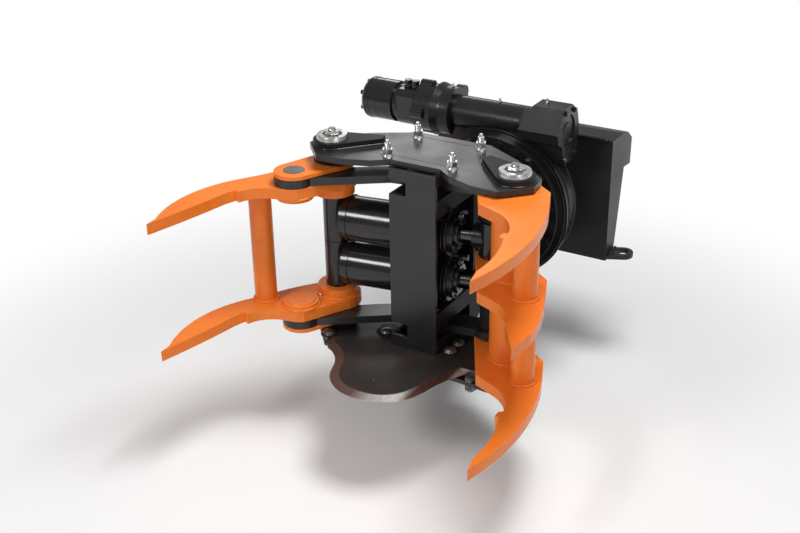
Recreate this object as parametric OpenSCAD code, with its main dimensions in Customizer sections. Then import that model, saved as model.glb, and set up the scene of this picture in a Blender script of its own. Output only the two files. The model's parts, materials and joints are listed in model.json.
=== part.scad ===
// Excavator tree shear with a fixed blade, two coupled grab arms and a slewing drive.
// The origin is on the slewing axis, at the rear face of the hitch bracket's front plate.
// X points to the right arm, Y to the machine that carries the shear, Z up.

/* [Head] */
// Distance between the two arm pivot pins
pin_spacing = 520; // [500:5:560]
// Distance from the hitch plate forward to the line of the arm pins
reach = 600; // [590:5:640]
// Clear height between the top plate and the blade
head_h = 500; // [500:2:520]
// Thickness of the top plate
top_t = 16; // [12:1:20]
// Thickness of the base plate
base_t = 12; // [10:1:16]
// Thickness of the blade
blade_t = 16; // [12:1:20]
// Width of the bevel ground along the blade's edge
bevel_w = 26; // [18:1:30]
// How far the blade stands out in front of the pin line
blade_reach = 309; // [300:1:314]
// How far the blade's nose stands off centre, towards the left arm
nose_shift = 12; // [0:1:14]
// Thickness of the front sheet and side plates
wall_t = 10; // [8:1:12]
// Width of the centre box
box_w = 134; // [128:2:140]
// Thickness of the reinforcing pads round the pins
pad_t = 16; // [12:1:20]
// Diameter of the arm pivot pins
pin_d = 50; // [44:1:52]

/* [Arms] */
// Thickness of the finger plates
finger_t = 30; // [26:1:32]
// Height of the left fingers' middle plane above and below the slewing axis
left_level = 174; // [170:1:178]
// Thickness of the left arm's fork plates
fork_t = 11; // [8:1:12]
// Diameter of the round tube that joins the fingers
tube_d = 60.3; // [54:0.1:64]
// Diameter of the right arm's hub tube
hub_d = 108; // [100:1:112]
// Radius of both cranks, from the arm pivot to the link and rod pins
crank_r = 120; // [116:1:122]
// Angle of the left crank, from the right, seen from above
left_crank_a = -112.8; // [-114:0.2:-110]
// Angle of the right crank, from the right, seen from above
right_crank_a = 140.8; // [138:0.2:142]
// Diameter of the left link pin
link_pin_d = 40; // [36:1:44]
// Diameter of the right crank pin
rod_pin_d = 32; // [28:1:34]

/* [Timing links] */
// Thickness of the timing links
link_t = 21; // [18:1:22]
// Width of the timing links
link_w = 66; // [60:1:68]
// How far the links bow back from the straight line
link_bow = 58; // [50:1:60]

/* [Cylinders] */
// Outer diameter of the barrels
barrel_d = 120; // [112:1:122]
// Bore of the barrels
bore_d = 100; // [92:1:104]
// Diameter of the piston rods
rod_d = 50; // [44:1:54]
// Vertical distance between the two cylinders
cylinder_pitch = 130; // [128:1:132]
// Length of rod that shows between the gland and the rod eye, with the arms open
rod_shown = 34; // [28:1:44]
// Outer diameter of the rear eyes
eye_d = 64; // [60:1:66]
// Outer diameter of the rod eyes
rod_eye_d = 72; // [70:1:74]
// Height of the rod eyes
rod_eye_h = 96; // [90:1:98]

/* [Slewing drive] */
// Outer diameter of the slewing ring
ring_d = 450; // [440:2:460]
// Depth of the ring that turns with the head
ring_t = 62; // [56:1:66]
// Outer diameter of the worm
worm_d = 70; // [64:1:74]
// Outer diameter of the worm housing tube
worm_tube_d = 96; // [92:1:104]
// Diameter of the hydraulic motor
motor_d = 118; // [112:1:126]
// Distance from the ring's edge to its bolt circle
bolt_edge = 39; // [36:1:42]
// Number of ring bolts
bolt_count = 24; // [12:4:28]

/* [Hitch] */
// Width of the hitch bracket
hitch_w = 556; // [520:2:580]
// Height of the hitch bracket
hitch_h = 368; // [350:1:380]
// Height of its bottom edge below the slewing axis
hitch_drop = 192; // [180:1:200]
// Thickness of the bracket's plates
hitch_t = 12; // [10:1:14]
// Radius of the holes for the locking pins in the lower ears
ear_hole_r = 17; // [14:0.5:18]

/* [Hidden] */
$fn = 64;

run = 0.05;              // radial clearance of a turning fit
side_gap = 1;            // clearance between faces that turn past each other
pin_y = -reach;
half = pin_spacing / 2;
top_z = head_h / 2;      // underside of the top plate
finger_gap = 4;          // right fingers to the plates above and below
boss_h = 26;
left_inner = left_level - finger_t / 2;
left_outer = left_level + finger_t / 2;
link_z = left_outer + side_gap;
fork_z = link_z + link_t + side_gap;
right_top = top_z - finger_gap;
rod_z = cylinder_pitch / 2;
plate_zs = [right_top - finger_t, -finger_t / 2, -right_top];
crank_l = [crank_r * cos(left_crank_a), crank_r * sin(left_crank_a)];
crank_rt = [crank_r * cos(right_crank_a), crank_r * sin(right_crank_a)];
rod_end = [pin_spacing + crank_rt[0], crank_rt[1]];
cylinder_l = norm(rod_end);
cylinder_a = atan2(rod_end[1], rod_end[0]);
link_span = rod_end - crank_l;
link_l = norm(link_span);
link_a = atan2(link_span[1], link_span[0]);
rod_collar = 12;         // from the rod eye to the start of its collar
barrel_l = cylinder_l - rod_eye_d / 2 - rod_collar - rod_shown;
open_rod = 11;           // radial clearance of the opened rod pivots
open_link = 18;          // radial clearance of the opened link pivots
flange_y = -192;
flange_t = 20;
ring_lip = 14;           // the ring's flange in front of the housing
ring_gap = 3;            // between the ring's flange and the housing
ring_r = ring_d / 2 - 27;        // the ring inside the housing
housing_r = ring_d / 2 - 9;
passage_r = 110;         // open centre of the slewing drive
bolt_circle_r = ring_d / 2 - bolt_edge;
plate_front = -42;       // front face of the front sheet, from the pin line
plate_back = 182;        // rear edge of the top plate, from the pin line
bolt_w = 24;             // blade bolts
link_eye_r = [52, 46];   // link eyes at the left and right cranks
nose_x = 8;              // half the blade's straight nose
nose_r = 127;            // the blade's round nose
stud_d = 16;             // studs on the top plate
link_head_d = 54;        // heads of the left link pins

// Points on the circle through three points, from the first to the last, its radius larger by d
function arc3(a, b, c, n = 12, d = 0) =
    let (k = 2 * (a[0] * (b[1] - c[1]) + b[0] * (c[1] - a[1]) + c[0] * (a[1] - b[1])),
        sa = a * a, sb = b * b, sc = c * c,
        m = [(sa * (b[1] - c[1]) + sb * (c[1] - a[1]) + sc * (a[1] - b[1])) / k,
            (sa * (c[0] - b[0]) + sb * (a[0] - c[0]) + sc * (b[0] - a[0])) / k],
        r = norm(a - m),
        t0 = atan2(a[1] - m[1], a[0] - m[0]),
        t1 = atan2(c[1] - m[1], c[0] - m[0]),
        tb = atan2(b[1] - m[1], b[0] - m[0]),
        ccw = turn(tb - t0) < turn(t1 - t0),
        sweep = ccw ? turn(t1 - t0) : turn(t1 - t0) - 360)
    [for (i = [0:n]) m + (r + d) * [cos(t0 + sweep * i / n), sin(t0 + sweep * i / n)]];
function two_sides(p, first = 0) = concat(p, [for (i = [len(p) - 1:-1:first]) [-p[i][0], p[i][1]]]);
function turn(a) = a < 0 ? turn(a + 360) : a >= 360 ? turn(a - 360) : a;

// Points on a circle's arc, from one angle to another
function arc(c, r, a0, a1, n = 10) =
    [for (i = [0:n]) c + r * [cos(a0 + (a1 - a0) * i / n), sin(a0 + (a1 - a0) * i / n)]];

module at_left() { translate([-half, pin_y, 0]) children(); }
module at_right() { translate([half, pin_y, 0]) children(); }
module plate(z, t) { translate([0, 0, z]) linear_extrude(t) children(); }
module both_ends(z, t) { plate(z, t) children(); plate(-z - t, t) children(); }
module disc(r, z, t, hole = 0) {
    translate([0, 0, z]) difference() {
        cylinder(r = r, h = t);
        if (hole > 0) translate([0, 0, -1]) cylinder(r = hole, h = t + 2);
    }
}
module along_x() { rotate([0, 90, 0]) children(); }
module along_y() { rotate([-90, 0, 0]) children(); }
module hex(w, h) { cylinder(d = w / cos(30), h = h, $fn = 6); }

// Head: plates that hold the arms

plate_half = [[70, -25], [112, -57], [182, -82], [255, -85], [319, -17], [312, 40], [210, 121], [105, 182]];

module plate_outline() { polygon(two_sides(plate_half)); }

module pin_holes() { for (s = [-1, 1]) translate([s * half, 0]) circle(d = pin_d + 2 * run); }

stud_points = [for (x = [-92, 92]) for (y = [-3, 149]) [x, y]];

module top_plate() {
    color("#3a3a3d") translate([0, pin_y, top_z]) linear_extrude(top_t) difference() {
        plate_outline();
        pin_holes();
        for (p = stud_points) translate(p) circle(d = stud_d);
    }
}

module pad_outline() {
    polygon(concat(arc([0, 0], pin_d, -138, 73, 16), [[-108, 84], [-118, 58]]));
}

module pin_pads() {
    color("#151517") translate([0, pin_y, top_z + top_t]) for (s = [-1, 1])
        scale([s, 1, 1]) translate([half, 0, 0]) linear_extrude(pad_t) difference() {
            pad_outline();
            circle(d = pin_d + 2 * run);
        }
}

module base_plate() {
    color("#151517") translate([0, pin_y, -top_z - blade_t - base_t]) linear_extrude(base_t) difference() {
        polygon(two_sides([[140, -90], [246, -98], [319, -17], [312, 40], [210, 121], [105, 182]]));
        pin_holes();
        for (p = blade_bolt_points) translate(p) circle(d = bolt_w + 0.4);
        translate(edge_bolt) circle(d = edge_bolt_w + 0.4);
    }
}

// Blade: lobed cutting edge with bevels ground on both faces, bolted on the base plate

blade_bolt_points = [[-243, -80], [-108, 0], [89, 41], [89, -4]];
edge_bolt = [190, -80];          // on the base plate, beside the blade's end
edge_bolt_w = 18;
left_flank = [[146, -205], [163, -171], [211, -134]];
right_flank = [[124, -200], [138, -145], [172, -76]];

// One side of the outline, drawn in by d at the edge: half the round nose, a hollow flank, then the rear
function blade_side(flank, shift, d) = concat(
    arc([nose_x + shift, nose_r - blade_reach], nose_r - d, -90, -15, 8),
    arc3(flank[0], flank[1], flank[2], 10, d),
    [[262, -60], [236, 30], [150, 120]]);
function blade_left(d) = [for (p = blade_side(left_flank, nose_shift, d)) [-p[0], p[1]]];
function blade_right(d) = blade_side(right_flank, -nose_shift, d);

// A layer of the blade, lofted between its outlines drawn in by d0 below and by d1 above
module blade_layer(z, h, d0, d1) {
    n = len(blade_right(0));
    polyhedron(
        points = concat([for (p = blade_right(d0)) [p[0], p[1], z]],
            [for (p = blade_left(d0)) [p[0], p[1], z]],
            [for (p = blade_right(d1)) [p[0], p[1], z + h]],
            [for (p = blade_left(d1)) [p[0], p[1], z + h]]),
        faces = concat([[0, n, 3 * n, 2 * n], [n - 1, 3 * n - 1, 4 * n - 1, 2 * n - 1]],
            [for (i = [0:n - 2]) each [
                [i, i + 1, n + i + 1, n + i],
                [2 * n + i, 3 * n + i, 3 * n + i + 1, 2 * n + i + 1],
                [i, 2 * n + i, i + 1],
                [i + 1, 2 * n + i, 2 * n + i + 1],
                [n + i, n + i + 1, 3 * n + i],
                [n + i + 1, 3 * n + i + 1, 3 * n + i]]]));
}

module blade() {
    mid = blade_t / 2;
    color("#4a3f3a") translate([0, pin_y, -top_z - blade_t]) difference() {
        union() {
            blade_layer(0, mid, bevel_w / 2, 0);
            blade_layer(mid, mid, 0, bevel_w);
        }
        for (s = [-1, 1]) translate([s * half, 0, -1]) cylinder(d = pin_d + 2 * run, h = blade_t + 2);
        for (p = blade_bolt_points) translate([p[0], p[1], -1]) cylinder(d = bolt_w + 0.4, h = blade_t + 2);
        translate([edge_bolt[0], edge_bolt[1], -1]) cylinder(d = 2.3 * edge_bolt_w, h = blade_t + 2);
        translate([-nose_shift, -222, -1]) cylinder(d = 12, h = blade_t + 2);
    }
}

module blade_bolts() {
    grip = blade_t + base_t;
    color("#3a3a3d") translate([0, pin_y, -top_z]) {
        for (p = blade_bolt_points) translate([p[0], p[1], -grip]) {
            cylinder(d = bolt_w, h = grip);
            translate([0, 0, grip]) cylinder(d1 = bolt_w * 1.7, d2 = bolt_w * 1.1, h = 11);
        }
        translate([edge_bolt[0], edge_bolt[1], -grip - 20]) {
            cylinder(d = edge_bolt_w, h = base_t + 20);
            translate([0, 0, 6]) hex(28, 14);
            translate([0, 0, base_t + 20]) hex(28, 11);
        }
    }
}

module front_sheet() {
    notch_z = [link_z - 8, link_z + link_t + 8];
    color("#3c3c3e") translate([0, pin_y + plate_front + wall_t, 0]) rotate([90, 0, 0])
        linear_extrude(wall_t) difference() {
            translate([-box_w / 2, -top_z]) square([box_w, head_h]);
            for (s = [-1, 1]) scale([1, s]) translate([-box_w / 2 - 1, notch_z[0]])
                square([50, notch_z[1] - notch_z[0]]);
        }
}

module side_profile() {
    back = reach + flange_y - flange_t;
    difference() {
        polygon([[plate_front + wall_t, top_z], [plate_back, top_z], [back, 150], [back, -150],
            [plate_back, -top_z], [plate_front + wall_t, -top_z]]);
        translate([plate_front + wall_t - 1, -barrel_half()]) square([196, 2 * barrel_half()]);
        for (s = [-1, 1]) scale([1, s])
            translate([plate_front + wall_t - 1, link_z - 8]) square([178, link_t + 16]);
        translate([240, 0]) circle(r = 70);
    }
}
function barrel_half() = rod_z + barrel_d / 2 + 8;

module side_plates() {
    color("#1d1d1f") for (s = [-1, 1])
        translate([s > 0 ? box_w / 2 - wall_t : -box_w / 2, pin_y, 0])
            rotate([90, 0, 90]) linear_extrude(wall_t) side_profile();
}

// Sloping sheets that close the neck above and below, between the side plates
module neck_sheets() {
    back = reach + flange_y - flange_t;
    color("#1d1d1f") for (s = [-1, 1]) scale([1, 1, s])
        translate([-box_w / 2 + wall_t, pin_y, 0]) rotate([90, 0, 90])
            linear_extrude(box_w - 2 * wall_t) polygon([[plate_back, top_z], [back, 150],
                [back, 150 - 12], [plate_back, top_z - 12]]);
}

module head_flange() {
    color("#1a1a1c") translate([0, flange_y - flange_t, 0]) along_y() difference() {
        cylinder(d = ring_d - 40, h = flange_t);
        translate([0, 0, -1]) cylinder(r = 60, h = flange_t + 2);
        ring_bolt_places() translate([0, 0, -1]) cylinder(d = 17, h = flange_t + 2);
    }
}

module ring_bolt_places() {
    for (i = [0:bolt_count - 1]) rotate([0, 0, (i + 0.5) * 360 / bolt_count])
        translate([bolt_circle_r, 0, 0]) children();
}

module ring_bolts() {
    color("#26262a") translate([0, flange_y - flange_t, 0]) along_y() ring_bolt_places() {
        translate([0, 0, -10]) hex(24, 10);
        cylinder(d = 16, h = flange_t + ring_lip);
    }
}

module slew_ring() {
    step = 6;
    color("#232326") translate([0, flange_y, 0]) along_y() difference() {
        union() {
            cylinder(d = ring_d - 2 * step, h = ring_lip);
            translate([0, 0, step]) cylinder(d = ring_d, h = ring_lip - step);
            translate([0, 0, ring_lip]) cylinder(r = ring_r, h = ring_t - ring_lip);
        }
        translate([0, 0, -1]) cylinder(r = passage_r, h = ring_t + 2);
        ring_bolt_places() translate([0, 0, -1]) cylinder(d = 16, h = ring_lip + 9);
    }
}

// Slewing drive: housing with its worm, motor and cover

housing_y = flange_y + ring_lip + ring_gap;
housing_back = -105;
worm_y = (housing_y + housing_back) / 2;
worm_centre = ring_r + worm_d / 2 + side_gap;
worm_bore_r = worm_d / 2 + 2;
block_end = ring_d / 2 - 29;
block_l = 121;
bell_end = 83 - ring_d / 2;      // right end of the bell, where the worm tube starts
bell_l = 114;
plug_r = 44;
screw_points = [[-20, -77], [46, -78], [-22, 54], [34, 50]];

module on_worm(x) { translate([x, worm_y, worm_centre]) along_x() children(); }
module across_worm(x) { translate([x, worm_y, worm_centre]) rotate([90, 0, 90]) children(); }

// Bearing block at the worm's end, with its left end sloped
module end_block() {
    intersection() {
        across_worm(block_end - block_l) linear_extrude(block_l)
            polygon([[-38, 68], [25, 68], [60, 42], [73, 0], [73, -62], [50, -95], [-15, -95],
                [-36, -38], [-60, -24], [-69, 5]]);
        translate([block_end, worm_y + 100, worm_centre]) rotate([90, 0, 0]) linear_extrude(200)
            polygon([[0, -96], [-block_l, -96], [-block_l, 0], [-block_l + 33, 69], [0, 69]]);
    }
}

module slew_housing() {
    color("#202023") difference() {
        union() {
            translate([0, housing_y, 0]) along_y() cylinder(r = housing_r, h = housing_back - housing_y);
            on_worm(bell_end) cylinder(d = worm_tube_d, h = block_end - bell_end - 20);
            translate([bell_end, worm_y - 35, worm_centre - 90]) cube([62, 70, 90]);
            end_block();
        }
        translate([0, housing_y - 1, 0]) along_y()
            cylinder(r = ring_r + run, h = flange_y + ring_t + side_gap - housing_y + 1);
        translate([0, housing_y - 1, 0]) along_y() cylinder(r = passage_r, h = housing_back - housing_y + 2);
        on_worm(bell_end - 1) cylinder(r = worm_bore_r, h = block_end - bell_end + 2);
        on_worm(block_end - 10) cylinder(r = plug_r + run, h = 11);
        translate([0, flange_y - 25, 0]) along_y() cylinder(d = ring_d + 4, h = ring_lip + 27);
    }
}

module worm_shaft() {
    length = block_end - bell_end - 14;
    color("#8a8a8c") on_worm(bell_end) {
        cylinder(r = 20, h = length);
        translate([0, 0, length / 2 - 80]) cylinder(d = worm_d, h = 160);
        for (x = [4, length - 30]) translate([0, 0, x]) cylinder(r = worm_bore_r - run, h = 24);
    }
}

module worm_end_cover() {
    color("#1a1a1c") on_worm(block_end - 10) {
        cylinder(r = plug_r, h = 6);
        translate([0, 0, 6]) cylinder(r1 = 24, r2 = 21, h = 3);
    }
}

module worm_cover_bolts() {
    color("#2a2a2c") across_worm(block_end) for (p = screw_points) translate(p) {
        cylinder(d = 15, h = 3);
        translate([0, 0, 3]) hex(11, 5);
    }
}

module bell_housing() {
    color("#202023") difference() {
        on_worm(bell_end - bell_l) {
            cylinder(r = 68, h = 60);
            for (a = [0:90:270]) rotate([0, 0, a]) translate([62, 0, 0]) cylinder(r = 17, h = 38);
            translate([0, 0, 60]) cylinder(r1 = 76, r2 = 69, h = 26);
            translate([0, 0, 86]) cylinder(r = 69, h = bell_l - 86);
            translate([-44, 44, bell_l - 24]) cylinder(r = 20, h = 24);
        }
        on_worm(bell_end - bell_l - 1) cylinder(r = 24, h = bell_l + 2);
        translate([0, flange_y - 20, 0]) along_y() cylinder(d = ring_d + 4, h = 107);
    }
}

motor_end = bell_end - 290;      // left end of the motor
motor_split = 50;                // length of its end cover

module drive_motor() {
    color("#1d1d20") on_worm(motor_end + motor_split) {
        cylinder(d = motor_d, h = 50);
        translate([0, 0, 50]) cylinder(d = motor_d - 14, h = 16);
        translate([0, 0, 66]) intersection() {
            cylinder(d = motor_d + 2, h = 54);
            translate([-50, -50, 0]) cube([120, 120, 54]);
        }
        translate([0, 0, 120]) cylinder(d = motor_d - 22, h = 6);
        translate([0, 0, 125]) cylinder(r = 18, h = 60);
    }
}

module motor_end_cover() {
    color("#17171a") on_worm(motor_end) {
        cylinder(d1 = motor_d - 14, d2 = motor_d, h = 8);
        translate([0, 0, 8]) cylinder(d = motor_d, h = motor_split - 9);
        translate([0, 0, motor_split - 1]) cylinder(d = motor_d - 5, h = 1);
    }
}

module motor_bolts() {
    color("#17171a") on_worm(motor_end - 8)
        for (a = [0:60:300]) rotate([0, 0, a]) translate([44, 0, 0]) hex(13, 8);
}

module port_fittings() {
    color("#2a2a2c") for (x = [134, 158]) translate([motor_end + x, worm_y - 8, worm_centre + 50]) {
        hex(26, 8);
        cylinder(d = 20, h = 16);
        translate([0, 0, 16]) hex(22, 7);
    }
}

module grease_nipple() {
    hex(9, 4);
    cylinder(d = 5, h = 10);
    translate([0, 0, 10]) sphere(d = 6.5, $fn = 24);
}

module drive_grease_nipples() {
    color("silver") {
        translate([bell_end - 15, worm_y, worm_centre + 69]) grease_nipple();
        translate([-10, worm_y, worm_centre + worm_tube_d / 2]) grease_nipple();
        translate([block_end - 64, worm_y, worm_centre + 68]) grease_nipple();
    }
}

// Spool between the drive's housing and the hitch bracket
module adapter_plate() {
    depth = -housing_back - hitch_t;
    color("#1a1a1c") translate([0, housing_back, 0]) along_y() difference() {
        union() {
            cylinder(r = 150, h = 16);
            cylinder(r = 136, h = depth);
            translate([0, 0, depth - 16]) cylinder(r = 156, h = 16);
        }
        translate([0, 0, -1]) cylinder(r = passage_r, h = depth + 2);
    }
}

// Hitch bracket

hitch_top = hitch_h - hitch_drop;

module hitch_profile() {
    polygon([[-hitch_t, -hitch_drop], [44, -hitch_drop], [88, 66], [135, 63], [137, hitch_top - 34],
        [104, hitch_top - 8], [64, hitch_top], [-hitch_t, hitch_top]]);
}

module hook_profile() {
    polygon([[54, hitch_top], [64, hitch_top], [104, hitch_top - 8], [137, hitch_top - 34], [135, 63],
        [118, 63], [118, hitch_top - 44], [96, hitch_top - 22], [54, hitch_top - hitch_t]]);
}

module hitch_bracket() {
    color("#1c1c1e") {
        translate([-hitch_w / 2, -hitch_t, -hitch_drop]) cube([hitch_w, hitch_t, hitch_h]);
        for (s = [0, 1]) translate([s ? hitch_w / 2 - hitch_t : -hitch_w / 2, 0, 0])
            rotate([90, 0, 90]) linear_extrude(hitch_t) hitch_profile();
        translate([-hitch_w / 2, 0, 0]) rotate([90, 0, 90]) linear_extrude(hitch_w) hook_profile();
        translate([-hitch_w / 2, -hitch_t, hitch_top - hitch_t]) cube([hitch_w, 70, hitch_t]);
    }
}

module hitch_ears() {
    ear_t = 14;
    hole_x = hitch_w / 2 + 30;
    color("#1c1c1e") for (s = [-1, 1]) scale([s, 1, 1])
        translate([0, 0, -hitch_drop]) linear_extrude(ear_t) difference() {
            polygon(concat([[hitch_w / 2, 44 + 20], [hitch_w / 2, 0]], arc([hole_x, 46], 30, -70, 100, 12)));
            translate([hole_x, 46]) circle(r = ear_hole_r);
        }
}

// Fasteners on the top plate

module top_studs() {
    color("silver") for (p = stud_points) translate([p[0], pin_y + p[1], top_z]) {
        cylinder(d = stud_d, h = top_t + 32);
        translate([0, 0, top_t + 32]) cylinder(d1 = 10, d2 = 8, h = 8);
    }
}

module top_nuts() {
    color("silver") for (p = stud_points) translate([p[0], pin_y + p[1], top_z + top_t]) difference() {
        union() {
            cylinder(d1 = 33, d2 = 26, h = 5);
            translate([0, 0, 5]) hex(24, 13);
        }
        translate([0, 0, -1]) cylinder(d = stud_d, h = 30);
    }
}

module pivot_pin() {
    z0 = -top_z - blade_t - base_t - 10;
    z1 = top_z + top_t + pad_t;
    color("silver") translate([0, 0, z0]) cylinder(d = pin_d, h = z1 - z0);
    color("silver") translate([0, 0, z1]) cylinder(d = 18, h = 27);
}

module left_pivot_pin() { at_left() pivot_pin(); }
module right_pivot_pin() { at_right() pivot_pin(); }

disc_t = 12;
nut_seat = 5;                    // floor of the recess that holds the nut

module pin_discs() {
    z1 = top_z + top_t + pad_t;
    color("silver") for (s = [-1, 1]) translate([s * half, pin_y, z1]) difference() {
        cylinder(d1 = 84, d2 = 78, h = disc_t);
        translate([0, 0, -1]) cylinder(d = 18, h = 20);
        translate([0, 0, nut_seat]) cylinder(d = 50, h = 20);
    }
}

module pin_nuts() {
    z1 = top_z + top_t + pad_t + nut_seat;
    color("silver") for (s = [-1, 1]) translate([s * half, pin_y, z1]) difference() {
        hex(36, 16);
        translate([0, 0, -1]) cylinder(d = 18, h = 20);
    }
}

// Washers between the head's plates and the arms
module head_spacers() {
    low = fork_z + fork_t + side_gap;
    color("#2a2a2c") for (s = [-1, 1]) {
        at_left() scale([1, 1, s]) disc(50, low, top_z - low, pin_d / 2 + run);
        at_right() scale([1, 1, s])
            disc(46, right_top + side_gap, top_z - right_top - side_gap, pin_d / 2 + run);
    }
}

// Left arm: two fingers, tube, forks that hold the timing links

left_tip = [-203, -496];
left_tube_at = [-147, -130];

module left_finger_outline() {
    polygon(concat(
        arc3(left_tip + [-2, 34], [-234, -310], [-178, -150], 14),
        arc3([-150, -105], [-100, -20], [-30, 58], 8),
        arc([0, 0], 62, 100, -40, 10),
        arc(crank_l, 54, -48, -80, 4),
        arc3([-60, -168], [-108, -190], [-134, -232], 6),
        [[-148, -226]],
        arc3([-158, -262], [-178, -380], left_tip, 12)));
}

module left_finger(z) {
    color("#ff7a1c") at_left() plate(z, finger_t) difference() {
        left_finger_outline();
        circle(d = pin_d + 2 * run);
        translate(crank_l) circle(d = link_pin_d);
    }
}
module left_upper_finger() { left_finger(left_inner); }
module left_lower_finger() { left_finger(-left_outer); }

module left_tube() {
    color("#ff7a1c") at_left() translate([left_tube_at[0], left_tube_at[1], -left_inner])
        difference() {
            cylinder(d = tube_d, h = 2 * left_inner);
            translate([0, 0, -1]) cylinder(d = tube_d - 10, h = 2 * left_inner + 2);
        }
}

module fork_outline() {
    polygon(concat(arc(crank_l, 52, 165, 330, 14), arc([0, 0], 58, -30, 165, 16)));
}

module left_forks() {
    color("#ff7a1c") at_left() both_ends(fork_z, fork_t) difference() {
        fork_outline();
        circle(d = pin_d + 2 * run);
        translate(crank_l) circle(d = link_head_d);
    }
}

module left_bosses() {
    color("#ff7a1c") at_left() for (s = [-1, 1]) scale([1, 1, s]) {
        disc(54, left_inner - boss_h, boss_h, pin_d / 2 + run);
        disc(pin_d / 2 + 4, left_outer, fork_z - left_outer, pin_d / 2 + run);
        translate(crank_l) disc(48, left_inner - 11, 11, link_pin_d / 2);
    }
}

module left_link_pins() {
    z0 = left_inner - 11;
    color("#9a9a9c") at_left() for (s = [-1, 1]) scale([1, 1, s]) translate(crank_l) {
        translate([0, 0, z0]) cylinder(d = link_pin_d, h = fork_z - z0);
        translate([0, 0, fork_z]) cylinder(d = link_head_d, h = fork_t + 1);
    }
}

module left_grease_nipple() {
    color("silver") at_left() translate([crank_l[0] + 28, crank_l[1] + 51, -left_inner]) grease_nipple();
}

// Right arm: three fingers on a hub tube and a round tube

right_tip = [138, -490];
right_tube_at = [80, -93];

module right_finger_outline() {
    polygon(concat(
        [[-33, -124], [18, -146]],
        arc3([40, -156], [78, -190], [101, -240], 6),
        [[91, -246], [92, -266]],
        arc3([104, -270], [128, -370], [127, -440], 8),
        [right_tip],
        arc3([148, -450], [164, -310], [128, -85], 14),
        [[87, 16], [50, 44]],
        arc([0, 0], 68, 60, 95, 4),
        arc(crank_rt, 46, 70, 190, 10)));
}

module right_middle_outline() {
    polygon(concat(
        [[-33, -124], [18, -146]],
        arc3([40, -156], [78, -190], [100, -240], 6),
        [[160, -330]],
        arc3([168, -245], [155, -170], [128, -85], 8),
        [[87, 16], [50, 44]],
        arc([0, 0], 68, 60, 95, 4),
        arc(crank_rt, 46, 70, 190, 10)));
}

module right_plate_holes() {
    circle(d = pin_d + 2 * run);
    translate(crank_rt) circle(d = rod_pin_d);
}

module right_top_finger() {
    color("#ff7a1c") at_right() plate(plate_zs[0], finger_t) difference() {
        right_finger_outline();
        right_plate_holes();
    }
}
module right_middle_finger() {
    color("#ff7a1c") at_right() plate(plate_zs[1], finger_t) difference() {
        right_middle_outline();
        right_plate_holes();
    }
}
module right_bottom_finger() {
    color("#ff7a1c") at_right() plate(plate_zs[2], finger_t) difference() {
        right_finger_outline();
        right_plate_holes();
    }
}

module right_hub_tubes() {
    color("#ff7a1c") at_right() for (s = [-1, 1]) scale([1, 1, s])
        disc(hub_d / 2, finger_t / 2, right_top - 1.5 * finger_t, pin_d / 2 + run);
}

module right_tubes() {
    color("#ff7a1c") at_right() for (s = [-1, 1]) scale([1, 1, s])
        translate(right_tube_at)
            disc(tube_d / 2, finger_t / 2, right_top - 1.5 * finger_t, tube_d / 2 - 5);
}

module right_crank_pin() {
    color("#9a9a9c") at_right() translate([crank_rt[0], crank_rt[1], -right_top])
        cylinder(d = rod_pin_d, h = 2 * right_top);
}

// Sleeves that keep the rod eyes and links apart on the crank pin
module crank_spacers() {
    z0 = rod_z + rod_eye_h / 2 + side_gap;
    color("#2a2a2c") at_right() translate(crank_rt) for (s = [-1, 1]) scale([1, 1, s])
        disc(30, z0, link_z - side_gap - z0, rod_pin_d / 2);
}

// Timing links: bowed bars from the left crank to the right crank

module link_outline() {
    mid = [link_l * 0.48, link_bow];
    far = [link_l, 0];
    a1 = atan2(mid[1], mid[0]);
    a2 = atan2(-mid[1], link_l - mid[0]);
    am = (a1 + a2) / 2;
    w = link_w / 2;
    near_a = asin(w / link_eye_r[0]);
    far_a = asin(w / link_eye_r[1]);
    difference() {
        polygon(concat(
            arc([0, 0], link_eye_r[0], a1 + near_a, a1 + 360 - near_a, 20),
            [mid + w / cos((a1 - a2) / 2) * [sin(am), -cos(am)]],
            arc(far, link_eye_r[1], a2 - 180 + far_a, a2 + 180 - far_a, 20),
            arc(mid, w, a2 + 90, a1 + 90, 6)));
        circle(d = link_pin_d + 2 * run);
        translate(far) circle(d = rod_pin_d + 2 * open_link);
    }
}

module timing_link(z) {
    color("#232325") at_left() translate([crank_l[0], crank_l[1], z]) rotate([0, 0, link_a])
        linear_extrude(link_t) link_outline();
}
module upper_link() { timing_link(link_z); }
module lower_link() { timing_link(-link_z - link_t); }

// Cylinders: barrel with its cross tube, gland, rod and rod eye

module on_cylinder(side) {
    at_left() translate([0, 0, side * rod_z]) rotate([0, 0, cylinder_a]) children();
}

module barrel(side) {
    h = left_inner - boss_h - side_gap;
    color("#111113") on_cylinder(side) difference() {
        union() {
            translate([0, 0, side > 0 ? -rod_z + side_gap : -h + rod_z])
                cylinder(d = eye_d, h = h - side_gap);
            translate([14, 0, 0]) along_x() cylinder(d1 = eye_d, d2 = barrel_d, h = 18);
            translate([32, 0, 0]) along_x() cylinder(d = barrel_d, h = barrel_l - 72);
            translate([44, 0, 0]) along_x() cylinder(d = barrel_d + 5, h = 8);
        }
        translate([0, 0, -80]) cylinder(d = pin_d + 2 * run, h = 200);
        translate([60, 0, 0]) along_x() cylinder(d = bore_d, h = barrel_l);
    }
}
module upper_barrel() { barrel(1); }
module lower_barrel() { barrel(-1); }

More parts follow.
